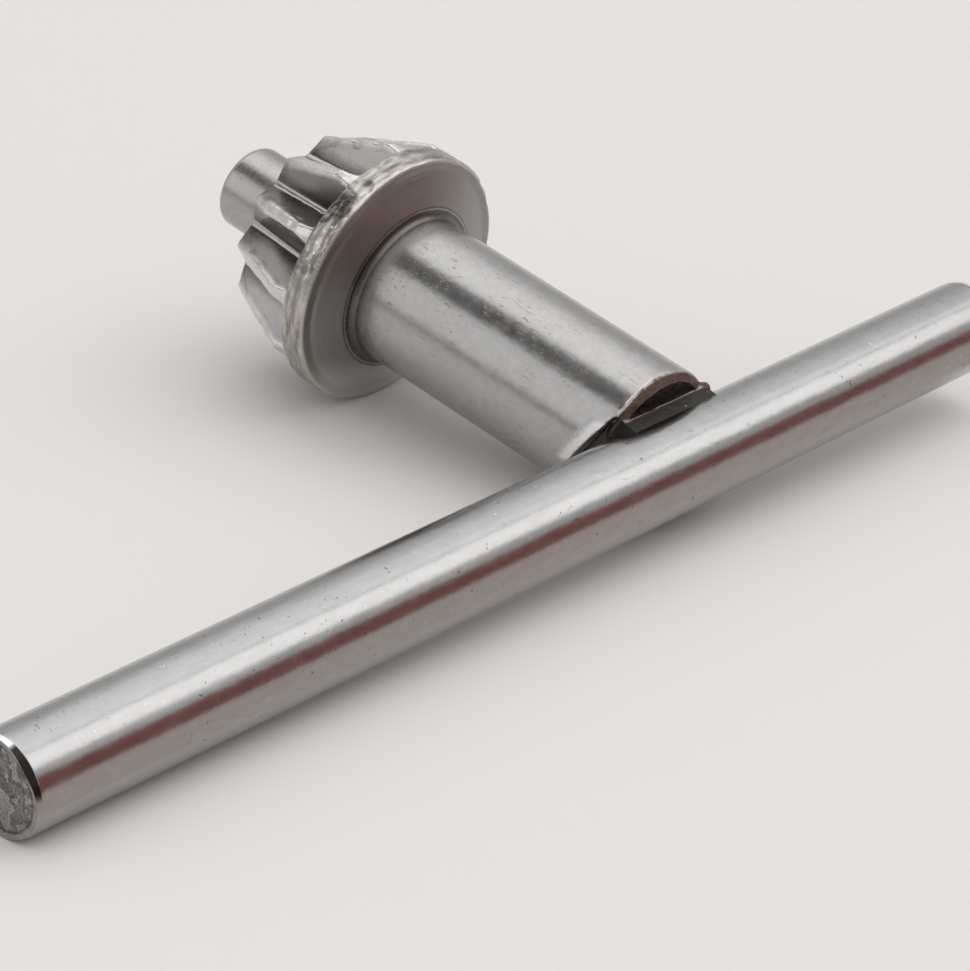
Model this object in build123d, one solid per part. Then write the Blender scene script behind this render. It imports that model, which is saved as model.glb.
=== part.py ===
"""Drill chuck key with a bevel pinion and a cross handle, laid as it comes to rest on a bench."""
from build123d import *
from math import asin, atan2, cos, degrees, hypot, radians, sin, sqrt, tan
import os

# All sizes are in millimetres and all angles in degrees. While the key is made, X runs along its
# shank from the handle's axis to the pilot's tip, Y along the handle towards its long arm, and Z
# completes the frame. At the end both pieces are laid down together.

# Cross handle, its arms measured from the shank's axis
bar_diameter = 6.3
long_arm = 57.3
short_arm = 30.8
bar_bevel_depth = 0.5
bar_bevel_length = 0.7

# Shank, and the saddle at its end that the handle is welded into
shank_diameter = 10.5
shank_length = 23.4
shank_bevel_depth = 0.6
shank_bevel_length = 0.45
saddle_depth = 0.95
saddle_clearance = 0.0

# Weld in the corner between the shank's end and the handle, with a lump that was squeezed out
weld_angle = 21.0
weld_height = 0.22
flash_radius = 0.42

# Slanting notch that was ground into the shank beside the long arm
notch_width = 1.4
notch_length = 1.35
notch_slant = 27.0

# Flange, with a coned back that rises to a ring round the shank
flange_diameter = 18.2
rim_width = 1.85
rim_edge_radius = 0.3
rim_land_width = 0.75
rim_step = 0.12
ring_width = 0.6
ring_rise = 0.9
root_fillet = 0.45

# Bevel pinion
tooth_count = 12
tooth_phase = 18.4
pinion_length = 7.0
tip_diameter_front = 13.7
tip_cone_angle = 21.0
tooth_land_width = 0.67
gap_floor_radius_front = 5.85
gap_floor_angle = 7.0
gap_floor_width = 0.36
point_length = 2.0
point_angle = 66.0

# Pilot
pilot_diameter = 6.0
pilot_length = 5.8
pilot_edge_radius = 0.45

# How far cutting shapes reach past what they cut, and how many times as high as a tooth
overrun = 1.0
flank_reach = 2.0

# Sizes that follow from those above
bar_radius = bar_diameter / 2
saddle_radius = bar_radius + saddle_clearance
shank_radius = shank_diameter / 2
flange_radius = flange_diameter / 2
ring_radius = shank_radius + ring_width
pilot_radius = pilot_diameter / 2
tip_radius_front = tip_diameter_front / 2
shank_end = bar_radius - saddle_depth
flange_back = shank_end + shank_length
flange_front = flange_back + rim_width
pinion_front = flange_front + pinion_length
pilot_tip = pinion_front + pilot_length
cone_length = (flange_radius - tip_radius_front) / tan(radians(tip_cone_angle))
weld_foot_x = saddle_radius * sin(radians(weld_angle))
weld_foot_z = saddle_radius * cos(radians(weld_angle))
weld_top_z = weld_foot_z + weld_height


def turned(*corners):
    """A solid of revolution about the X axis from the corners of its half section."""
    half_section = make_face(Polyline(*corners, close=True))
    return revolve(half_section, axis=Axis.X)


def edges_at(solid, x, radius):
    """The circular edges round the X axis that lie at x with the given radius."""
    near = 0.01
    found = []
    for edge in solid.edges().filter_by(GeomType.CIRCLE):
        same_x = abs(edge.arc_center.X - x) < near
        same_radius = abs(edge.radius - radius) < near
        if same_x and same_radius:
            found.append(edge)
    return found


def blank():
    """The turned blank: shank, coned flange, pinion cone and pilot, before any tooth is cut."""
    ring_x = flange_back - ring_rise
    step_radius = flange_radius - rim_edge_radius - rim_land_width
    solid = turned(
        (shank_end, 0),
        (shank_end, shank_radius - shank_bevel_depth),
        (shank_end + shank_bevel_length, shank_radius),
        (ring_x, shank_radius),
        (ring_x, ring_radius),
        (flange_back - rim_step, step_radius),
        (flange_back, step_radius),
        (flange_back, flange_radius),
        (pinion_front - cone_length, flange_radius),
        (pinion_front, tip_radius_front),
        (pinion_front, pilot_radius),
        (pilot_tip, pilot_radius),
        (pilot_tip, 0),
    )
    solid = fillet(edges_at(solid, ring_x, shank_radius), root_fillet)
    solid = fillet(edges_at(solid, flange_back, flange_radius), rim_edge_radius)
    return fillet(edges_at(solid, pilot_tip, pilot_radius), pilot_edge_radius)


def gap_section(x, floor_radius, corner_width, corner_height):
    """A gap between two teeth at x: a narrow flat floor and straight flanks past a land's corner."""
    floor_half = gap_floor_width / 2
    top_half = floor_half + flank_reach * (corner_width - floor_half)
    top = floor_radius + flank_reach * (corner_height - floor_radius)
    plane = Plane(origin=(x, 0, 0), x_dir=(0, 1, 0), z_dir=(1, 0, 0))
    outline = Polyline(
        (-floor_half, floor_radius),
        (floor_half, floor_radius),
        (top_half, top),
        (-top_half, top),
        close=True,
    )
    return plane * make_face(outline)


def land_corner(x):
    """Where a flank meets the land of its tooth at x, as width and height from the gap's middle."""
    tip_radius = tip_radius_front + (pinion_front - x) * tan(radians(tip_cone_angle))
    half_land_angle = degrees(tooth_land_width / 2 / tip_radius)
    corner_angle = radians(180 / tooth_count - half_land_angle)
    return tip_radius * sin(corner_angle), tip_radius * cos(corner_angle)


def tooth_gap_section(x):
    """The gap at x, with flanks that leave the land of each tooth at its set width."""
    width, height = land_corner(x)
    floor_radius = gap_floor_radius_front + (pinion_front - x) * tan(radians(gap_floor_angle))
    return gap_section(x, floor_radius, width, height)


def point_section(x):
    """The wider gap that points the teeth in front and leaves their lands at point_length."""
    width, height = land_corner(pinion_front - point_length)
    flank_height = (width - gap_floor_width / 2) / tan(radians(point_angle))
    floor_slope = (height - flank_height - gap_floor_radius_front) / point_length
    floor_radius = gap_floor_radius_front + (pinion_front - x) * floor_slope
    return gap_section(x, floor_radius, width, floor_radius + flank_height)


def gap_cutter():
    """All that one gap takes out of the blank."""
    gap = loft([tooth_gap_section(flange_front), tooth_gap_section(pinion_front)], ruled=True)
    point_back = pinion_front - 2 * point_length
    point = loft([point_section(point_back), point_section(pinion_front)], ruled=True)
    front = extrude(tooth_gap_section(pinion_front) + point_section(pinion_front), amount=overrun)
    return gap + point + front


def handle_round(radius):
    """A round of the given radius along the whole handle."""
    length = long_arm + short_arm
    middle = (long_arm - short_arm) / 2
    return Pos(0, middle, 0) * Rot(90, 0, 0) * Cylinder(radius, length)


def weld():
    """The upset metal in the corners between the shank's end and the handle."""
    buried_x = shank_end + shank_bevel_length
    outline = Polyline(
        (weld_foot_x, 0),
        (weld_foot_x, weld_foot_z),
        (shank_end, weld_top_z),
        (buried_x, weld_top_z),
        (buried_x, 0),
        close=True,
    )
    upper = extrude(Plane.XZ * make_face(outline), amount=shank_radius, both=True)
    bead = upper + mirror(upper, about=Plane.XY)
    shank_round = Pos(shank_end, 0, 0) * Rot(0, 90, 0) * Cylinder(shank_radius, shank_diameter)
    return bead & shank_round


def flash():
    """The lump of weld metal that stands out at the shank's edge beside the short arm."""
    y = -sqrt(shank_radius**2 - weld_top_z**2)
    return Pos(shank_end, y, weld_foot_z) * Sphere(flash_radius)


def notch():
    """What was ground off the shank beside the long arm, back to a slanting end."""
    size = 2 * shank_diameter
    block = Pos(-size / 2, size / 2, 0) * Box(size, size, size)
    end_x = saddle_radius + notch_length
    return Pos(end_x, shank_radius - notch_width, 0) * Rot(0, -notch_slant, 0) * block


def pinion_shank():
    """Shank, flange, toothed pinion and pilot in one piece, with the saddle for the handle."""
    solid = blank()
    cutter = gap_cutter()
    for index in range(tooth_count):
        turn = tooth_phase + 360 / tooth_count * index
        solid = solid - Rot(turn, 0, 0) * cutter
    solid = solid + weld() + flash()
    return solid - notch() - handle_round(saddle_radius)


def cross_handle():
    """The round bar, bevelled at both ends."""
    bar = turned(
        (-short_arm, 0),
        (-short_arm, bar_radius - bar_bevel_depth),
        (-short_arm + bar_bevel_length, bar_radius),
        (long_arm - bar_bevel_length, bar_radius),
        (long_arm, bar_radius - bar_bevel_depth),
        (long_arm, 0),
    )
    return Rot(0, 0, 90) * bar


def bench():
    """The plane of the bench as it lies to the key, which rests on three places.

    They are the back edge of its flange, the edge of its shank's end and the end of its long arm.
    """
    heel_x = flange_back + rim_edge_radius
    heel_radius = flange_radius - rim_edge_radius
    toe_x = shank_end + shank_bevel_length
    along = heel_x - toe_x
    outward = heel_radius - shank_radius
    rise = atan2(outward, along) + asin(rim_edge_radius / hypot(along, outward))
    height = shank_radius * cos(rise) - toe_x * sin(rise)
    arm_end = long_arm - bar_bevel_length
    roll = asin(height / hypot(arm_end, bar_radius)) - atan2(bar_radius, arm_end)
    up = Vector(sin(rise), -sin(roll), sqrt(cos(rise) ** 2 - sin(roll) ** 2))
    return Plane(origin=up * -height, x_dir=(1, 0, 0), z_dir=up)


def main():
    """Lay both pieces on the bench, centred over the origin, and write them."""
    pieces = {"pinion_shank": pinion_shank(), "cross_handle": cross_handle()}
    laid = {name: bench().to_local_coords(solid) for name, solid in pieces.items()}
    box = laid["pinion_shank"].bounding_box().add(laid["cross_handle"].bounding_box())
    to_origin = Pos(-box.center().X, -box.center().Y, 0)
    os.makedirs("parts", exist_ok=True)
    for name, solid in laid.items():
        export_step(to_origin * solid, f"parts/{name}.step")


main()
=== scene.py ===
"""Looks of the drill chuck key: its steel, its wear and the studio round it."""
import math

import bmesh
import bpy
from mathutils import Euler, Matrix, Vector, noise


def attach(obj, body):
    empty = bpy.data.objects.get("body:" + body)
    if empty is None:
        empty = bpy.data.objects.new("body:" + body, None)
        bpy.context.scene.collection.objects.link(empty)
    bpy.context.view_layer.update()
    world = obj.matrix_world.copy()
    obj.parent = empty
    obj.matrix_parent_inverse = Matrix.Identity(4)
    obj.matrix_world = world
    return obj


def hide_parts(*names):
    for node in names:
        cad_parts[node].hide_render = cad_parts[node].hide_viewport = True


# The key lies on the bench with its shank's end low. Along its own axes, X runs from the handle's
# axis to the pilot's tip and Y towards the handle's long arm; these place it in the scene.
MM = 0.001
KEY_ORIGIN = Vector((-18.42022, -13.24458, 4.74595)) * MM
KEY_TURN = Euler((math.radians(-1.6390), math.radians(-9.4122), 0.0))
KEY_PLACE = Matrix.Translation(KEY_ORIGIN) @ KEY_TURN.to_matrix().to_4x4()

# Sizes of the solids along the key's own axes, in millimetres
BAR_RADIUS = 3.15
BAR_BEVEL = 0.7
LONG_ARM = 57.3
SHORT_ARM = 30.8
SHANK_RADIUS = 5.25
FLANGE_RADIUS = 9.1
PINION_FRONT = 34.45
TIP_RADIUS_FRONT = 6.85
TIP_SLOPE = math.tan(math.radians(21.0))
FLOOR_RADIUS_FRONT = 5.85
FLOOR_SLOPE = math.tan(math.radians(7.0))

# The notch beside the long arm: its ground side, and its slanting end at the shank's middle
NOTCH_SIDE = 3.85
NOTCH_END = 4.5
NOTCH_SLANT = 0.51

# Weld metal that runs out sideways into the notch, between two heights
RUN_OUT_FOOT = 1.2
RUN_OUT_TOP = 3.1
RUN_OUT_END = 3.2
RUN_OUT_START = 3.6

# The shank and the head are made apart, and the head's stub is drawn in where it lies in the shank
SHANK_CUT = 24.62
HEAD_CUT = 24.1
HEAD_STUB = 24.28

# The bar's ends: a broken stub off the middle of each face, and a chip in its rim, in degrees round
STUB_PLACE = (-0.69, 0.43)
CHIP_ANGLE = 128.0
CHIP_WIDTH = 24.0
CHIP_DEPTH = 0.36


# Shader nodes


class Shader:
    """A material's node tree, with short ways to add the nodes that steel needs."""

    def __init__(self, name):
        self.material = bpy.data.materials.new(name)
        self.material.use_nodes = True
        self.tree = self.material.node_tree
        self.tree.nodes.clear()

    def add(self, kind, **settings):
        """A new node with its settings."""
        made = self.tree.nodes.new(kind)
        for key, value in settings.items():
            setattr(made, key, value)
        return made

    def feed(self, socket, value):
        """Link a socket to another one, or set it to a constant."""
        if isinstance(value, bpy.types.NodeSocket):
            self.tree.links.new(value, socket)
        else:
            socket.default_value = value

    def covered(self, shader):
        """The finished material, with this shader on its surface."""
        output = self.add("ShaderNodeOutputMaterial")
        self.feed(output.inputs[0], shader.outputs[0])
        return self.material

    def math(self, operation, first, second=0.0):
        """One step of arithmetic on numbers or sockets."""
        made = self.add("ShaderNodeMath", operation=operation)
        self.feed(made.inputs[0], first)
        self.feed(made.inputs[1], second)
        return made.outputs[0]

    def plus(self, first, second):
        return self.math("ADD", first, second)

    def minus(self, first, second):
        return self.math("SUBTRACT", first, second)

    def times(self, product, *factors):
        for factor in factors:
            product = self.math("MULTIPLY", product, factor)
        return product

    def largest(self, most, *others):
        for other in others:
            most = self.math("MAXIMUM", most, other)
        return most

    def length(self, first, second):
        """The length of the line whose two legs are given."""
        squares = self.plus(self.math("POWER", first, 2.0), self.math("POWER", second, 2.0))
        return self.math("SQRT", squares)

    def step(self, value, low, high):
        """0 below low and 1 above high, with a soft change between; falls if low is above high."""
        made = self.add("ShaderNodeMapRange", interpolation_type="SMOOTHSTEP")
        self.feed(made.inputs["Value"], value)
        self.feed(made.inputs["From Min"], min(low, high))
        self.feed(made.inputs["From Max"], max(low, high))
        self.feed(made.inputs["To Min"], 0.0 if low < high else 1.0)
        self.feed(made.inputs["To Max"], 1.0 if low < high else 0.0)
        return made.outputs["Result"]

    def line(self, value, place, outer, inner):
        """1 where the value is within the inner distance of a place, and 0 past the outer one."""
        return self.step(self.math("ABSOLUTE", self.minus(value, place)), outer, inner)

    def noise(self, vector, scale, detail=4.0, roughness=0.6):
        """Soft noise round 0.5, with about as many bumps to a millimetre as the scale says."""
        made = self.add("ShaderNodeTexNoise")
        self.feed(made.inputs["Vector"], vector)
        self.feed(made.inputs["Scale"], scale)
        self.feed(made.inputs["Detail"], detail)
        self.feed(made.inputs["Roughness"], roughness)
        return made.outputs["Fac"]

    def stretched(self, vector, factors):
        """The vector with its three parts multiplied, for streaks."""
        made = self.add("ShaderNodeVectorMath", operation="MULTIPLY")
        self.feed(made.inputs[0], vector)
        self.feed(made.inputs[1], factors)
        return made.outputs[0]

    def mix(self, factor, first, second):
        """From the first colour at 0 to the second at 1; a mix node's colours are at 6 and 7."""
        made = self.add("ShaderNodeMix", data_type="RGBA")
        self.feed(made.inputs[0], factor)
        self.feed(made.inputs[6], first)
        self.feed(made.inputs[7], second)
        return made.outputs[2]

    def blend(self, factor, first, second):
        """From the first number at 0 to the second at 1."""
        made = self.add("ShaderNodeMix", data_type="FLOAT")
        self.feed(made.inputs[0], factor)
        self.feed(made.inputs[2], first)
        self.feed(made.inputs[3], second)
        return made.outputs[0]

    def key_place(self):
        """The place along the key's own axes, in millimetres."""
        coordinates = self.add("ShaderNodeTexCoord")
        placed = self.add("ShaderNodeMapping", vector_type="TEXTURE")
        self.feed(placed.inputs["Vector"], coordinates.outputs["Object"])
        self.feed(placed.inputs["Location"], KEY_ORIGIN)
        self.feed(placed.inputs["Rotation"], KEY_TURN)
        self.feed(placed.inputs["Scale"], (MM, MM, MM))
        return placed.outputs["Vector"]

    def marked(self, name):
        """The number that a mesh carries at each point under this name."""
        made = self.add("ShaderNodeAttribute", attribute_type="GEOMETRY", attribute_name=name)
        return made.outputs["Fac"]

    def apart(self, vector):
        """The three parts of a vector."""
        made = self.add("ShaderNodeSeparateXYZ")
        self.feed(made.inputs[0], vector)
        return made.outputs[0], made.outputs[1], made.outputs[2]

    def combined(self, along, side=0.0, up=0.0):
        """A vector from its three parts."""
        made = self.add("ShaderNodeCombineXYZ")
        self.feed(made.inputs[0], along)
        self.feed(made.inputs[1], side)
        self.feed(made.inputs[2], up)
        return made.outputs[0]


class Steel(Shader):
    """Bare steel that is painted, roughened and embossed layer by layer.

    Its places are in millimetres along the key's own axes, and the radius is measured from the
    shank's axis, or from the handle's for the bar.
    """

    def __init__(self, name, fine_scale, about_handle=False):
        super().__init__(name)
        self.place = self.key_place()
        self.along, self.side, self.up = self.apart(self.place)
        self.radius = self.length(self.along if about_handle else self.side, self.up)
        self.fine = self.noise(self.place, fine_scale, 6.0, 0.75)
        self.colour = None
        self.rough = None
        self.normal = None

    def frayed(self, value, amount):
        """The value with fine unevenness of up to this amount either way."""
        return self.plus(value, self.blend(self.fine, -amount, amount))

    def covering(self, under, mask, colour, share=1.0):
        """A colour laid over another one where the mask is 1, and less where its share is lower."""
        if share < 1:
            mask = self.times(mask, share)
        return self.mix(mask, under, colour)

    def paint(self, mask, colour, share=1.0):
        """Lay a colour over the steel where the mask is 1."""
        self.colour = self.covering(self.colour, mask, colour, share)

    def roughen(self, mask, roughness):
        """Give the steel this roughness where the mask is 1."""
        self.rough = self.blend(mask, self.rough, roughness)

    def emboss(self, height, strength, distance):
        """Raise the surface by the height, over all that was embossed before."""
        made = self.add("ShaderNodeBump")
        self.feed(made.inputs["Strength"], strength)
        self.feed(made.inputs["Distance"], distance * MM)
        self.feed(made.inputs["Height"], height)
        if self.normal is not None:
            self.feed(made.inputs["Normal"], self.normal)
        self.normal = made.outputs["Normal"]

    def finished(self):
        """The steel with all its layers."""
        shader = self.add("ShaderNodeBsdfPrincipled")
        shader.inputs["Metallic"].default_value = 1.0
        self.feed(shader.inputs["Base Color"], self.colour)
        self.feed(shader.inputs["Roughness"], self.rough)
        self.feed(shader.inputs["Normal"], self.normal)
        return self.covered(shader)


def grey(value, warmth=0.0):
    """A steel grey, warmer where warmth is above 0."""
    return (value * (1 + warmth), value, value * (1 - warmth), 1.0)


# The bar's steel


def drawn_round(s):
    """The bar's round: bright, drawn lengthways and mottled, with pits, nicks and scuffs."""
    cloud = s.noise(s.place, 0.3, 3.0)
    drawn = s.noise(s.stretched(s.place, (9.0, 0.25, 9.0)), 1.0, 5.0, 0.7)
    across = s.noise(s.stretched(s.place, (1.2, 9.0, 1.2)), 1.0, 3.0)
    mottled = s.noise(s.stretched(s.place, (1.6, 0.5, 1.6)), 1.0, 4.0, 0.7)
    scuffs = s.times(s.step(across, 0.66, 0.74), s.step(cloud, 0.45, 0.6))
    pits = s.times(s.step(s.noise(s.place, 2.4, 3.0), 0.35, 0.29), s.step(cloud, 0.40, 0.55))
    nicks = s.times(s.step(s.noise(s.place, 3.1, 2.0), 0.68, 0.74), s.step(cloud, 0.55, 0.40))
    s.colour = s.mix(mottled, grey(0.34, 0.008), grey(0.47, 0.008))
    s.paint(pits, grey(0.10, 0.05), 0.7)
    s.paint(nicks, grey(0.70), 0.6)
    s.rough = s.plus(s.blend(drawn, 0.12, 0.20), s.blend(mottled, 0.0, 0.12))
    s.roughen(scuffs, 0.36)
    dents = s.plus(s.times(scuffs, 0.8), s.times(pits, 1.5))
    s.emboss(drawn, 0.12, 0.01)
    s.emboss(s.minus(s.times(s.fine, 0.35), dents), 0.35, 0.012)
    s.emboss(cloud, 0.7, 0.05)


def burnt_and_shaded_beside_weld(s):
    """Burnt skin and painted shade on the bar beside the weld, with a soft edge that bulges in the
    middle.
    """
    off_middle = s.math("POWER", s.minus(s.side, 2.0), 2.0)
    reach = s.frayed(s.minus(s.along, s.times(off_middle, 0.03)), 0.15)
    beside_shank = s.step(s.math("ABSOLUTE", s.side), 5.6, 4.8)
    # The dark colour here is partly heat tint and partly painted shade between the bar and the weld.
    burnt = s.times(s.step(reach, 0.25, 0.80), beside_shank, s.step(s.up, 0.0, 0.5))
    specks = s.step(s.noise(s.place, 3.4, 1.0), 0.74, 0.79)
    s.paint(burnt, s.mix(specks, (0.050, 0.046, 0.042, 1.0), grey(0.45)))
    s.roughen(burnt, 0.38)


def sheared_face(s, sheared):
    """The bar's end faces: dull torn relief inside a smooth rim, with rings round a broken stub."""
    crevice = (0.06, 0.058, 0.05, 1.0)
    flat = s.combined(s.along, 0.0, s.up)
    torn = s.noise(flat, 1.7, 5.0, 0.7)
    lamella = s.noise(flat, 0.9)
    fissures = s.line(lamella, 0.48, 0.030, 0.004)
    crests = s.line(lamella, 0.56, 0.035, 0.004)
    from_stub = s.length(s.minus(s.along, STUB_PLACE[0]), s.minus(s.up, STUB_PLACE[1]))
    from_stub = s.plus(from_stub, s.blend(torn, -0.12, 0.12))
    rings = s.times(s.math("SINE", s.times(from_stub, 21.0)), s.step(from_stub, 0.8, 0.45))
    from_middle = s.plus(s.radius, s.blend(torn, -0.05, 0.05))
    groove = s.line(from_middle, 2.66, 0.12, 0.03)
    rim = s.step(from_middle, 2.72, 2.80)
    face = s.mix(s.step(torn, 0.25, 0.75), (0.10, 0.098, 0.088, 1.0), (0.40, 0.39, 0.37, 1.0))
    face = s.covering(face, fissures, crevice, 0.6)
    face = s.covering(face, crests, grey(0.52, 0.01), 0.5)
    face = s.covering(face, s.step(rings, 0.1, -0.9), crevice, 0.55)
    face = s.covering(face, groove, crevice, 0.55)
    face = s.covering(face, rim, s.mix(torn, grey(0.22), grey(0.46)))
    s.paint(sheared, face)
    s.roughen(sheared, s.blend(torn, 0.30, 0.5))
    relief = s.plus(s.times(torn, 1.2), s.times(rings, 0.12))
    hollows = s.plus(s.times(fissures, 0.35), s.times(groove, 0.3))
    s.emboss(s.times(sheared, s.minus(relief, hollows)), 0.9, 0.16)


def end_bevels(s, bevels):
    """The bevels of the bar's ends: a painted highlight on top, and a painted black reflection in one
    quarter.
    """
    # A painted highlight on the top of the bevels, and a painted black reflection in one quarter.
    bevel_highlight = s.times(s.step(s.along, -0.5, -0.1), s.step(s.up, 1.0, 2.0), bevels)
    bevel_dark_reflection = s.times(s.step(s.along, -0.2, -0.6), s.step(s.up, 0.7, 1.3), bevels)
    s.paint(bevel_highlight, grey(0.9), 0.9)
    s.paint(bevel_dark_reflection, (0.012, 0.011, 0.008, 1.0), 0.95)
    s.roughen(bevels, 0.36)


def bar_steel():
    """The handle's bar: bright drawn steel, burnt and painted in shade beside the weld, with sheared
    ends.
    """
    s = Steel("bar_steel", 3.0, about_handle=True)
    drawn_round(s)
    burnt_and_shaded_beside_weld(s)
    end_face = s.marked("end_face")
    sheared_face(s, s.step(end_face, 0.94, 0.99))
    end_bevels(s, s.times(s.step(end_face, 0.02, 0.10), s.step(end_face, 0.99, 0.94)))
    return s.finished()


# The shank's steel


def turned_round(s, turned, mottled, speckle):
    """The shank's round: turned, tarnished and scored, with more pits towards the flange."""
    cloud = s.noise(s.place, 0.35, 3.0)
    scored = s.noise(s.stretched(s.place, (1.4, 6.0, 6.0)), 1.0)
    knocked = s.noise(s.stretched(s.place, (1.0, 3.0, 1.5)), 1.5, 2.0)
    near_flange = s.step(s.along, 12.0, 23.0)
    pits = s.step(s.minus(speckle, s.times(near_flange, 0.08)), 0.30, 0.24)
    scores = s.times(s.step(scored, 0.39, 0.33), s.step(cloud, 0.4, 0.6))
    nicks = s.times(s.step(knocked, 0.70, 0.77), s.step(cloud, 0.55, 0.42))
    tarnish = s.times(s.step(cloud, 0.50, 0.68), s.step(mottled, 0.35, 0.6))
    dents = s.largest(pits, scores)
    s.colour = s.mix(mottled, grey(0.33, 0.015), grey(0.49, 0.015))
    s.paint(tarnish, grey(0.38, 0.07), 0.6)
    s.paint(nicks, grey(0.60, 0.01), 0.4)
    s.paint(s.step(s.fine, 0.5, 0.3), grey(0.30, 0.03), 0.3)
    s.paint(dents, grey(0.12, 0.06), 0.55)
    s.rough = s.plus(s.blend(turned, 0.14, 0.22), s.blend(mottled, 0.0, 0.14))
    s.emboss(turned, 0.08, 0.01)
    s.emboss(s.minus(s.times(s.fine, 0.3), dents), 0.35, 0.015)
    s.emboss(cloud, 0.7, 0.06)


def corner_shade(s):
    """Painted shade on the shank in the corner at the flange."""
    corner = s.step(s.frayed(s.along, 0.35), 23.6, 24.4)
    # Painted shade darkens the shank in this corner.
    s.paint(corner, (0.07, 0.062, 0.05, 1.0), 0.8)
    s.roughen(corner, 0.4)


def welded_end(s, inside, above_bead):
    """The shank's end: burnt face, weld darkened partly by painted shade, a brown bevel round them, a
    black cap of painted shade at the notch.
    """
    # The bead is dark partly from heat and partly from painted shade between the shank and the bar.
    bead = s.mix(s.fine, (0.040, 0.036, 0.032, 1.0), (0.075, 0.068, 0.062, 1.0))
    specks = s.step(s.noise(s.place, 3.1, 1.0), 0.72, 0.78)
    bead = s.covering(bead, specks, grey(0.45))
    burnt = s.mix(s.fine, (0.022, 0.018, 0.016, 1.0), (0.06, 0.048, 0.042, 1.0))
    bevel = s.mix(s.fine, (0.075, 0.045, 0.036, 1.0), (0.20, 0.14, 0.12, 1.0))
    ring = s.times(s.step(s.frayed(s.radius, 0.06), 4.60, 4.70), above_bead)
    # Painted shade: a black cap down in the notch, below the bead's top.
    notch_shade = s.times(s.step(s.side, 3.72, 3.80), s.step(s.up, 3.3, 3.1))
    end = s.mix(above_bead, bead, burnt)
    end = s.covering(end, ring, bevel)
    end = s.covering(end, notch_shade, (0.012, 0.011, 0.010, 1.0), 0.8)
    s.paint(inside, end)
    s.roughen(inside, s.blend(s.fine, 0.25, 0.5))


def end_highlight_lines(s, inside, above_bead, mottled):
    """Painted highlight lines at the shank's end: along its broken outer edge, the bevel's foot and
    the bead's crease.
    """
    edge_x = 2.66
    foot_radius = 4.66
    crease_z = 3.17
    edge = s.line(s.frayed(s.along, 0.12), edge_x, 0.14, 0.05)
    edge = s.times(edge, s.step(s.radius, 5.0, 5.1), s.step(s.up, 3.0, 3.3))
    edge = s.times(edge, s.step(mottled, 0.36, 0.56))
    foot = s.times(s.line(s.frayed(s.radius, 0.04), foot_radius, 0.06, 0.02), inside, above_bead)
    crease = s.times(s.line(s.frayed(s.up, 0.03), crease_z, 0.06, 0.02), inside)
    crease = s.times(crease, s.step(s.along, 2.05, 2.12), s.step(s.side, 3.75, 3.65))
    # Painted highlights along these edges and the crease.
    painted_highlight = s.largest(s.times(edge, 0.8), s.times(foot, 0.12), s.times(crease, 0.5))
    s.paint(painted_highlight, grey(0.62, 0.01))


def ground_notch(s, turned):
    """The ground notch: painted shade inside, with a bright torn burr along its slanting end."""
    past_end = s.minus(s.plus(s.along, s.times(s.up, NOTCH_SLANT)), NOTCH_END)
    below_round = s.times(s.step(s.radius, 5.22, 5.12), s.step(s.side, 3.4, 3.6))
    in_notch = s.times(s.step(past_end, 0.02, -0.05), below_round, s.step(s.along, 2.35, 2.55))
    # Painted shade: the inside of the notch is painted dark.
    s.paint(in_notch, s.mix(turned, (0.04, 0.034, 0.028, 1.0), (0.11, 0.095, 0.08, 1.0)))
    s.roughen(in_notch, 0.4)
    burr = s.times(s.step(past_end, -0.04, 0.02), s.step(s.frayed(past_end, 0.5), 1.15, 0.45))
    burr = s.times(burr, s.step(s.side, 3.4, 3.8), s.step(s.up, -1.4, -0.6), s.step(s.up, 3.0, 2.4))
    s.paint(burr, grey(0.95), 0.9)
    s.roughen(burr, 0.5)
    return burr


def shank_steel():
    """The shank: turned steel, pitted towards the flange, burnt and burred where it is welded, with
    painted shade and highlights at its end, notch and corner.
    """
    s = Steel("shank_steel", 3.2)
    turned = s.noise(s.stretched(s.place, (9.0, 0.5, 0.5)), 1.0, 5.0, 0.7)
    mottled = s.noise(s.place, 1.1, 5.0, 0.7)
    speckle = s.noise(s.place, 4.5, 4.0, 0.8)
    turned_round(s, turned, mottled, speckle)
    corner_shade(s)
    inside = s.step(s.along, 2.72, 2.62)
    above_bead = s.step(s.up, 3.12, 3.2)
    welded_end(s, inside, above_bead)
    end_highlight_lines(s, inside, above_bead, mottled)
    burr = ground_notch(s, turned)
    s.emboss(s.times(s.largest(burr, inside), speckle), 0.9, 0.12)
    return s.finished()


# The head's steel


def streaked_rim(s):
    """The rim: streaks of bright and dark metal round it, with a dark patch and painted glints at one
    place.
    """
    rim = s.times(s.step(s.radius, 8.85, 8.98), s.step(s.along, 27.7, 27.6))
    round_rim = s.times(s.math("ARCTAN2", s.up, s.side), FLANGE_RADIUS)
    unrolled = s.combined(s.times(s.along, 2.2), s.times(round_rim, 0.45))
    streaks = s.noise(unrolled, 1.0, 5.0, 0.65)
    from_dark_patch = s.length(s.minus(s.side, 7.0), s.minus(s.up, 5.8))
    dark_patch = s.times(s.step(from_dark_patch, 4.2, 1.6), s.step(streaks, 0.60, 0.45))
    # Painted glints: bright yellowish spots near the dark patch.
    bright_spots = s.step(s.noise(s.place, 2.3, 2.0), 0.62, 0.68)
    painted_glints = s.times(bright_spots, s.step(from_dark_patch, 3.6, 1.8))
    band = s.mix(s.step(streaks, 0.25, 0.75), (0.18, 0.168, 0.15, 1.0), (0.60, 0.58, 0.54, 1.0))
    band = s.covering(band, dark_patch, (0.10, 0.094, 0.082, 1.0), 0.65)
    band = s.covering(band, painted_glints, (0.78, 0.73, 0.62, 1.0), 0.8)
    s.paint(rim, band)


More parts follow.
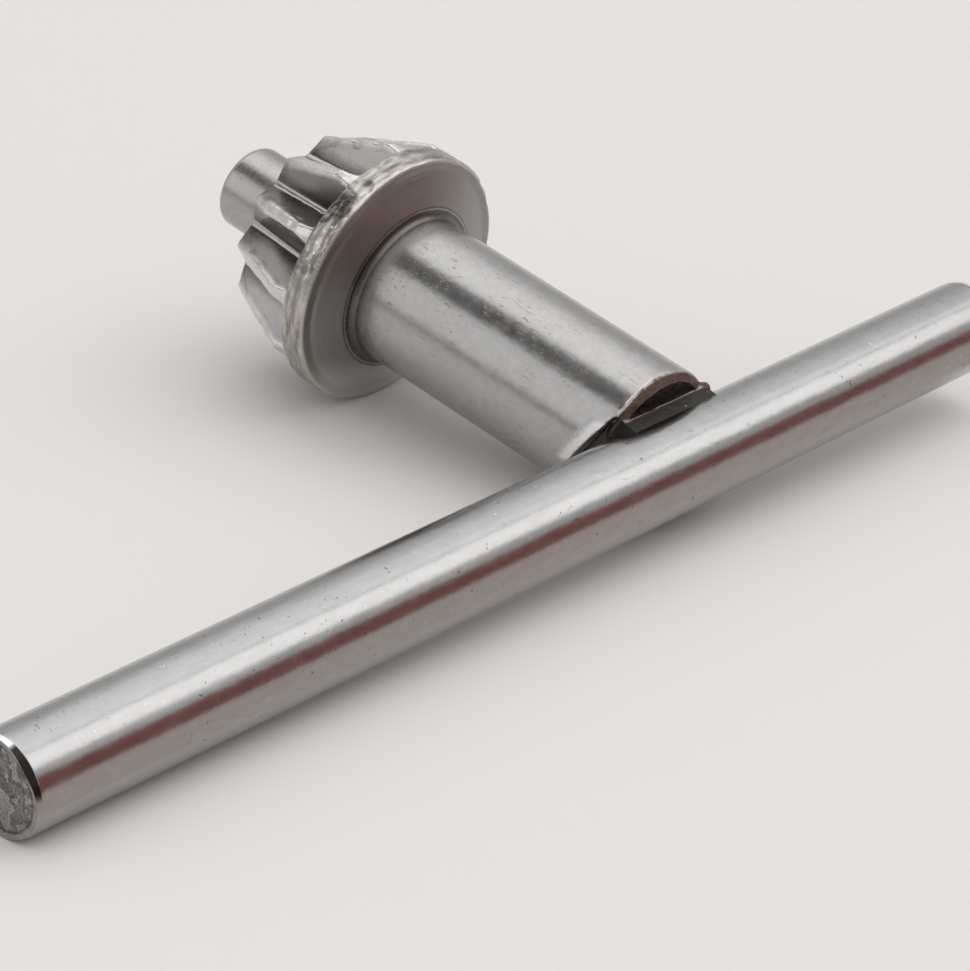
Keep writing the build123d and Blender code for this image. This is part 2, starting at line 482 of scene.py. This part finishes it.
def turned_back(s, cloud):
    """The flange's back: a brown skin in turned rings, with a painted reflection lighter to one side
    and low down.
    """
    back = s.times(s.step(s.along, 25.80, 25.70), s.step(s.radius, 5.95, 6.1))
    rings = s.noise(s.stretched(s.combined(s.radius), (5.0, 1.0, 1.0)), 1.0, 3.0)
    grain = s.plus(s.times(s.fine, 0.6), s.times(rings, 0.4))
    skin = s.mix(grain, (0.20, 0.184, 0.172, 1.0), (0.37, 0.348, 0.328, 1.0))
    # Painted reflection: lighter to one side in patches, and lighter low down.
    painted_sheen = s.plus(s.times(s.side, -0.11), s.blend(cloud, -0.5, 0.6))
    skin = s.covering(skin, s.step(painted_sheen, 0.1, 1.1), grey(0.31, 0.02))
    skin = s.covering(skin, s.step(s.up, -3.5, -7.0), grey(0.62, 0.03), 0.8)
    s.paint(back, skin)
    s.roughen(back, s.blend(s.fine, 0.32, 0.45))
    s.emboss(s.times(rings, back), 0.25, 0.03)


def root_shade_and_highlight(s):
    """The ring and fillet at the flange's root: painted shade with a thin painted highlight line."""
    root = s.times(s.step(s.radius, 6.1, 5.95), s.step(s.along, 25.4, 25.2))
    painted_highlight = s.times(s.line(s.radius, s.blend(s.fine, 5.80, 5.90), 0.09, 0.03), root)
    # Painted shade in the fillet, and a painted highlight along the ring.
    s.paint(root, (0.08, 0.07, 0.058, 1.0), 0.85)
    s.paint(painted_highlight, grey(0.40, 0.03), 0.7)


def rim_edge_highlight(s):
    """A painted highlight along the rim's worn back edge."""
    edge = s.times(s.line(s.frayed(s.radius, 0.12), 8.93, 0.16, 0.06), s.step(s.along, 26.1, 25.9))
    # Painted highlight along the edge.
    s.paint(edge, (0.60, 0.57, 0.52, 1.0), 0.75)


def teeth(s):
    """Teeth: bright lands and gap floors, duller flanks, darker flanks to one side, dirt and painted
    shade low down.
    """
    toothed = s.times(s.step(s.along, 27.35, 27.5), s.step(s.along, 34.6, 34.5))
    from_front = s.minus(PINION_FRONT, s.along)
    tip = s.plus(s.times(from_front, TIP_SLOPE), TIP_RADIUS_FRONT)
    tip = s.math("MINIMUM", tip, FLANGE_RADIUS)
    floor = s.plus(s.times(from_front, FLOOR_SLOPE), FLOOR_RADIUS_FRONT)
    below_tip = s.frayed(s.minus(tip, s.radius), 0.14)
    above_floor = s.minus(s.radius, floor)
    land = s.times(toothed, s.step(below_tip, 0.45, 0.0))
    flank = s.times(toothed, s.step(below_tip, 0.05, 0.20))
    # Dirt and painted shade on the flanks low down in the gaps.
    dirt_and_shade = s.times(flank, s.step(s.frayed(above_floor, 0.2), 0.85, 0.15))
    gap_floor = s.times(toothed, s.step(above_floor, 0.07, 0.03))
    # Flanks darker to one side and high up.
    one_side_darker = s.times(flank, s.step(s.side, 2.2, 4.4), s.step(s.up, -0.8, 1.4))
    dulled = s.blend(s.noise(s.place, 0.18, 2.0), 0.0, 0.3)
    s.paint(s.times(flank, dulled), grey(0.26, 0.05))
    s.paint(one_side_darker, (0.11, 0.105, 0.095, 1.0), 0.6)
    s.paint(dirt_and_shade, (0.085, 0.08, 0.07, 1.0), 0.7)
    s.paint(land, grey(0.74, 0.02), 0.8)
    s.paint(gap_floor, grey(0.50, 0.03), 0.8)


def head_steel():
    """The pinion's head: bright nicked rim and crests, a brown turned face with a painted reflection,
    painted highlights and shade at rim and root, dirt and painted shade between teeth.
    """
    s = Steel("head_steel", 2.8)
    cloud = s.noise(s.place, 0.45)
    pits = s.step(s.noise(s.place, 5.0, 4.0, 0.8), 0.36, 0.28)
    s.colour = s.mix(cloud, grey(0.34, 0.03), grey(0.47, 0.025))
    s.rough = s.blend(s.fine, 0.20, 0.36)
    s.paint(s.step(s.fine, 0.50, 0.33), grey(0.17, 0.06), 0.25)
    streaked_rim(s)
    turned_back(s, cloud)
    root_shade_and_highlight(s)
    rim_edge_highlight(s)
    teeth(s)
    s.paint(pits, grey(0.1, 0.08), 0.22)
    s.emboss(s.fine, 0.22, 0.03)
    s.emboss(cloud, 0.25, 0.12)
    return s.finished()


# Pieces


def only(made):
    """Select one object alone and make it active."""
    bpy.ops.object.select_all(action="DESELECT")
    made.select_set(True)
    bpy.context.view_layer.objects.active = made


def part_of_shank(name, solid, cut, keep_back):
    """A working copy of the solid shank, cut square across and kept behind or before the cut."""
    made = bpy.data.objects.new(name, solid.data.copy())
    made.data.transform(KEY_PLACE.inverted())
    bpy.context.scene.collection.objects.link(made)
    only(made)
    bpy.ops.mesh.customdata_custom_splitnormals_clear()
    bpy.ops.object.mode_set(mode="EDIT")
    bpy.ops.mesh.select_all(action="SELECT")
    bpy.ops.mesh.remove_doubles(threshold=0.001 * MM)
    bpy.ops.mesh.select_all(action="SELECT")
    bpy.ops.mesh.bisect(
        plane_co=(cut * MM, 0, 0),
        plane_no=(1, 0, 0),
        use_fill=True,
        clear_outer=keep_back,
        clear_inner=not keep_back,
    )
    bpy.ops.object.mode_set(mode="OBJECT")
    return made


def softened(made, voxel, passes):
    """Even small faces all over, with the sharp edges rubbed round."""
    only(made)
    remesh = made.modifiers.new("even_faces", "REMESH")
    remesh.mode = "VOXEL"
    remesh.voxel_size = voxel * MM
    bpy.ops.object.modifier_apply(modifier=remesh.name)
    rub = made.modifiers.new("rubbed_edges", "SMOOTH")
    rub.factor = 0.5
    rub.iterations = passes
    bpy.ops.object.modifier_apply(modifier=rub.name)
    bpy.ops.object.shade_smooth()


def dressed(made, material, stands_for):
    """Lay a finished piece on the bench, and give it its steel and its place in the frame."""
    made.data.transform(KEY_PLACE)
    made.data.materials.clear()
    made.data.materials.append(material)
    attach(made, "root")
    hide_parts(stands_for)


def fill_saddle(made):
    """Carry the hollow of the saddle on into the bar, so that the weld meets the bar with no gap."""
    near = 0.02
    only(made)
    bpy.ops.object.mode_set(mode="EDIT")
    bpy.ops.mesh.select_mode(type="FACE")
    bpy.ops.mesh.select_all(action="DESELECT")
    shape = bmesh.from_edit_mesh(made.data)
    for face in shape.faces:
        hollow = [abs(math.hypot(c.co.x, c.co.z) / MM - BAR_RADIUS) < near for c in face.verts]
        face.select = all(hollow)
    bmesh.update_edit_mesh(made.data)
    bpy.ops.mesh.extrude_region_move()
    bpy.ops.transform.resize(value=(0.8, 1, 0.8), center_override=(0, 0, 0))
    bpy.ops.object.mode_set(mode="OBJECT")


def weld_run_out(x, y, z, radius, past_end):
    """How far the weld runs out sideways at a place on its own side, down in the notch."""
    reach = 0.8
    thinning_length = 0.6
    on_weld = y > RUN_OUT_START and radius < 5.05 and RUN_OUT_FOOT < z < RUN_OUT_TOP
    if not on_weld or x >= RUN_OUT_END or past_end >= -0.05:
        return 0.0
    bulge = math.sin(math.pi * (RUN_OUT_TOP - z) / (RUN_OUT_TOP - RUN_OUT_FOOT))
    thinned = min(1.0, (RUN_OUT_END - x) / thinning_length)
    return reach * bulge * thinned * (y - RUN_OUT_START) / (NOTCH_SIDE - RUN_OUT_START)


def worn_shank_place(x, y, z):
    """Where a point of the rubbed shank belongs: on the true round, or on lumpy or torn metal."""
    radius = math.hypot(y, z)
    past_end = x + NOTCH_SLANT * z - NOTCH_END
    y += weld_run_out(x, y, z, radius, past_end)
    spot = Vector((x, y, z))
    beside_notch = y > 3 and past_end < 0.12
    on_round = radius > 5.17 and x > 2.85 and not beside_notch
    on_end = radius < 5.0 and x < 2.6
    on_lip = radius > 4.9 and y > 3 and -0.1 < past_end < 0.3
    if on_round:
        y, z = y * SHANK_RADIUS / radius, z * SHANK_RADIUS / radius
    elif on_end:
        lump = noise.noise(spot * 1.5) + 0.6 * noise.noise(spot * 3.4)
        x += 0.09 * lump
        z += 0.06 * lump
    elif on_lip:
        y += 0.07 * (0.5 + noise.noise(spot * 3.0))
    return Vector((x, y, z))


def shank(solid):
    """The shank with its welded end, its bead lumpy and its notch torn."""
    made = part_of_shank("shank", solid, SHANK_CUT, keep_back=True)
    fill_saddle(made)
    softened(made, voxel=0.11, passes=3)
    for corner in made.data.vertices:
        corner.co = worn_shank_place(*(corner.co / MM)) * MM
    dressed(made, shank_steel(), "pinion_shank")


def head_wear(spot, radius):
    """How far the head's surface is knocked or rubbed in at a spot."""
    tip = TIP_RADIUS_FRONT + (PINION_FRONT - spot.x) * TIP_SLOPE
    in_stub = spot.x < HEAD_STUB
    on_rim = spot.x < 27.7 and radius > 8.6
    on_crest = 27.4 < spot.x < 34.5 and tip - radius < 0.5
    if in_stub:
        return 0.05
    if on_rim:
        nick = max(0.0, noise.noise(spot * 0.8) - 0.1)
        return 0.22 * nick + 0.025 * abs(noise.noise(spot * 2.5))
    if on_crest:
        nick = max(0.0, noise.noise(spot * 0.8))
        return 0.2 * nick + 0.02 * abs(noise.noise(spot * 3.0))
    return 0.0


def pinion_head(solid):
    """Flange, teeth and pilot, with nicks knocked into the rim and the crests."""
    made = part_of_shank("pinion_head", solid, HEAD_CUT, keep_back=False)
    softened(made, voxel=0.124, passes=2)
    for corner in made.data.vertices:
        spot = corner.co / MM
        radius = math.hypot(spot.y, spot.z)
        wear = head_wear(spot, radius)
        if wear > 0:
            shrink = 1 - wear / radius
            corner.co = Vector((spot.x, spot.y * shrink, spot.z * shrink)) * MM
    dressed(made, head_steel(), "pinion_shank")


def draw_out_end(made, end_y):
    """Draw one end face of the bar out into its bevel, then inset it ring by ring."""
    bevel_steps = ((0.30, 0.995), (0.39, 0.98))
    ring_width = 0.16
    ring_count = 18
    near = 0.01
    only(made)
    bpy.ops.object.mode_set(mode="EDIT")
    bpy.ops.mesh.select_all(action="DESELECT")
    bpy.ops.mesh.select_mode(type="FACE")
    shape = bmesh.from_edit_mesh(made.data)
    for face in shape.faces:
        face.select = abs(face.calc_center_median().y - end_y * MM) < near * MM
    bmesh.update_edit_mesh(made.data)
    way = 1 if end_y > 0 else -1
    for length, shrink in bevel_steps:
        outward = (0, way * length * MM, 0)
        bpy.ops.mesh.extrude_region_move(TRANSFORM_OT_translate={"value": outward})
        bpy.ops.transform.resize(value=(shrink, 1, shrink))
    for ring in range(ring_count):
        bpy.ops.mesh.inset(thickness=ring_width * MM, depth=0)
    bpy.ops.object.mode_set(mode="OBJECT")


def tear_ends(made):
    """Chip one side of each end face, roughen the face and mark where it is."""
    near = 0.05
    torn_radius = 2.8
    marks = made.data.attributes.new("end_face", "FLOAT", "POINT")
    for corner, mark in zip(made.data.vertices, marks.data):
        x, y, z = corner.co / MM
        way = 1 if y > 0 else -1
        end = LONG_ARM if y > 0 else -SHORT_ARM
        if abs(y - end) > near:
            continue
        mark.value = 1.0
        from_chip = (math.degrees(math.atan2(z, x)) - CHIP_ANGLE) / CHIP_WIDTH
        shrink = 1 - CHIP_DEPTH / BAR_RADIUS * math.exp(-(from_chip ** 2))
        spot = Vector((x, z, end))
        if math.hypot(x, z) < torn_radius:
            waves = 0.05 * noise.noise(spot * 0.7) + 0.04 * abs(noise.noise(spot * 2.2))
            y -= way * (0.04 + waves)
        corner.co = Vector((x * shrink, y, z * shrink)) * MM


def handle_bar():
    """The round bar with its bevelled, sheared ends."""
    straight = LONG_ARM + SHORT_ARM - 2 * BAR_BEVEL
    middle = (LONG_ARM - SHORT_ARM) / 2
    bpy.ops.object.select_all(action="DESELECT")
    bpy.ops.mesh.primitive_cylinder_add(
        vertices=144,
        radius=BAR_RADIUS * MM,
        depth=straight * MM,
        location=(0, middle * MM, 0),
        rotation=(math.radians(90), 0, 0),
    )
    made = bpy.context.active_object
    made.name = "handle_bar"
    bpy.ops.object.transform_apply(location=True, rotation=True, scale=True)
    draw_out_end(made, LONG_ARM - BAR_BEVEL)
    draw_out_end(made, -SHORT_ARM + BAR_BEVEL)
    tear_ends(made)
    only(made)
    bpy.ops.object.shade_smooth_by_angle(angle=math.radians(28))
    dressed(made, bar_steel(), "cross_handle")


# Studio


def emitting(name, colour, strength):
    """A material that only gives light."""
    s = Shader(name)
    light = s.add("ShaderNodeEmission")
    light.inputs[0].default_value = (*colour, 1.0)
    light.inputs[1].default_value = strength
    return s.covered(light)


def panel(name, corners, colour, strength=1.0, only_mirrored=False):
    """A flat sheet round the bench, lit or dark, that the camera doesn't see."""
    bpy.ops.object.select_all(action="DESELECT")
    bpy.ops.mesh.primitive_plane_add(size=1.0)
    sheet = bpy.context.active_object
    sheet.name = name
    round_the_edge = (0, 1, 3, 2)
    for index, corner in zip(round_the_edge, corners):
        sheet.data.vertices[index].co = corner
    sheet.data.materials.append(emitting(name, colour, strength))
    sheet.visible_camera = False
    if only_mirrored:
        sheet.visible_diffuse = False
        sheet.visible_shadow = False


def round_handle(turn, reach):
    """A place at an angle round the handle, a metre from it and some way along it."""
    return (math.cos(turn), -reach, math.sin(turn))


def round_shank(turn, reach):
    """A place at an angle round the shank, a metre from it and some way along it."""
    return (reach, math.cos(turn), math.sin(turn))


def long_panel(name, place, angles, reaches, colour, strength):
    """A panel between two angles round a piece, in degrees, and two distances along it."""
    start, end = angles
    near, far = reaches
    corners = []
    for angle, reach in ((start, near), (start, far), (end, far), (end, near)):
        corners.append(place(math.radians(angle), reach))
    panel(name, corners, colour, strength)


def upright(start, end, height):
    """The corners of an upright sheet on the bench between two places."""
    return ((*start, 0.0), (*end, 0.0), (*end, height), (*start, height))


def bench():
    """A wide pale bench top."""
    bpy.ops.object.select_all(action="DESELECT")
    bpy.ops.mesh.primitive_plane_add(size=6.0, location=(0, 0, 0))
    floor = bpy.context.active_object
    floor.name = "bench_top"
    s = Shader("bench_top")
    shader = s.add("ShaderNodeBsdfPrincipled")
    shader.inputs["Base Color"].default_value = (0.72, 0.70, 0.68, 1.0)
    shader.inputs["Roughness"].default_value = 0.9
    shader.inputs["Specular IOR Level"].default_value = 0.0
    floor.data.materials.append(s.covered(shader))


def room_light():
    """Pale walls that are greyer low down and lighter overhead.

    A ramp's colours end at 1, so it holds each level as a share of the strength.
    """
    levels = ((0.0, 0.60), (0.2, 0.54), (0.4, 0.60), (0.58, 0.88), (0.78, 1.40), (0.92, 1.50))
    strength = 2.0
    world = bpy.data.worlds.new("room")
    bpy.context.scene.world = world
    world.use_nodes = True
    tree = world.node_tree
    tree.nodes.clear()
    coordinates = tree.nodes.new("ShaderNodeTexCoord")
    parts = tree.nodes.new("ShaderNodeSeparateXYZ")
    heights = tree.nodes.new("ShaderNodeValToRGB")
    background = tree.nodes.new("ShaderNodeBackground")
    output = tree.nodes.new("ShaderNodeOutputWorld")
    ramp = heights.color_ramp
    while len(ramp.elements) < len(levels):
        ramp.elements.new(0.5)
    for element, (height, level) in zip(ramp.elements, levels):
        element.position = height
        element.color = (level / strength, level / strength, level / strength, 1.0)
    background.inputs[1].default_value = strength
    tree.links.new(coordinates.outputs["Generated"], parts.inputs[0])
    tree.links.new(parts.outputs[2], heights.inputs[0])
    tree.links.new(heights.outputs[0], background.inputs[0])
    tree.links.new(background.outputs[0], output.inputs[0])


def studio():
    """Soft light: a large softbox over the handle, pale walls and dark things near the bench."""
    white = (1.0, 1.0, 1.0)
    daylight = (1.0, 0.99, 0.98)
    beside_handle = (0.1, 1.5)
    room_light()
    long_panel("softbox", round_handle, (137, 105), beside_handle, daylight, 1.9)
    long_panel("softbox_edge", round_handle, (104.5, 102), beside_handle, daylight, 0.55)
    long_panel("softbox_side", round_handle, (101.5, 88), beside_handle, white, 1.55)
    long_panel("fill", round_shank, (8, 50), (0.1, 1.6), white, 1.02)
    long_panel("dark_gap", round_shank, (54, 83), (0.15, 1.1), (0.09, 0.086, 0.082), 1.0)
    box_side = upright((-0.066, 0.070), (-0.080, -0.160), 0.029)
    panel("brown_box", box_side, (0.26, 0.10, 0.083), only_mirrored=True)
    edge_side = upright((0.02, 0.135), (0.35, 0.135), 0.014)
    panel("far_edge", edge_side, (0.22, 0.21, 0.20), only_mirrored=True)
    on_bench = 0.0002
    sheet_edge = -0.0225
    warm_sheet = (
        (sheet_edge, 0.20, on_bench),
        (sheet_edge, -0.25, on_bench),
        (-0.20, -0.25, on_bench),
        (-0.20, 0.20, on_bench),
    )
    panel("warm_sheet", warm_sheet, (0.62, 0.548, 0.508), only_mirrored=True)
    bench()


def camera():
    """The photograph's camera."""
    place = Vector((-155.471, 164.817, 112.571)) * MM
    turn = Euler([math.radians(angle) for angle in (63.73614, -3.44213, -137.57520)])
    data = bpy.data.cameras.new("camera")
    data.sensor_fit = "HORIZONTAL"
    data.sensor_width = 36.0
    data.lens = 143.884
    data.clip_start = 0.01
    data.clip_end = 20.0
    made = bpy.data.objects.new("camera", data)
    bpy.context.scene.collection.objects.link(made)
    made.matrix_world = Matrix.Translation(place) @ turn.to_matrix().to_4x4()
    bpy.context.scene.camera = made


# The cube, lamp and camera that a new file holds go first
for left_over in ("Cube", "Light", "Camera"):
    if left_over in bpy.data.objects:
        bpy.data.objects.remove(bpy.data.objects[left_over])

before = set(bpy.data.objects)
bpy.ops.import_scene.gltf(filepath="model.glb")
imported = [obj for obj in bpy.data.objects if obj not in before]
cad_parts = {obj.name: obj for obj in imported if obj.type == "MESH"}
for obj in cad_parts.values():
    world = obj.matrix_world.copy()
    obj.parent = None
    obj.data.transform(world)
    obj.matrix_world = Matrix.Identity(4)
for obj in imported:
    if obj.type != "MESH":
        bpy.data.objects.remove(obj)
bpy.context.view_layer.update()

camera()
studio()
bpy.context.scene.view_settings.view_transform = "Standard"

shank_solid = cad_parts["pinion_shank"]
shank(shank_solid)
pinion_head(shank_solid)
handle_bar()
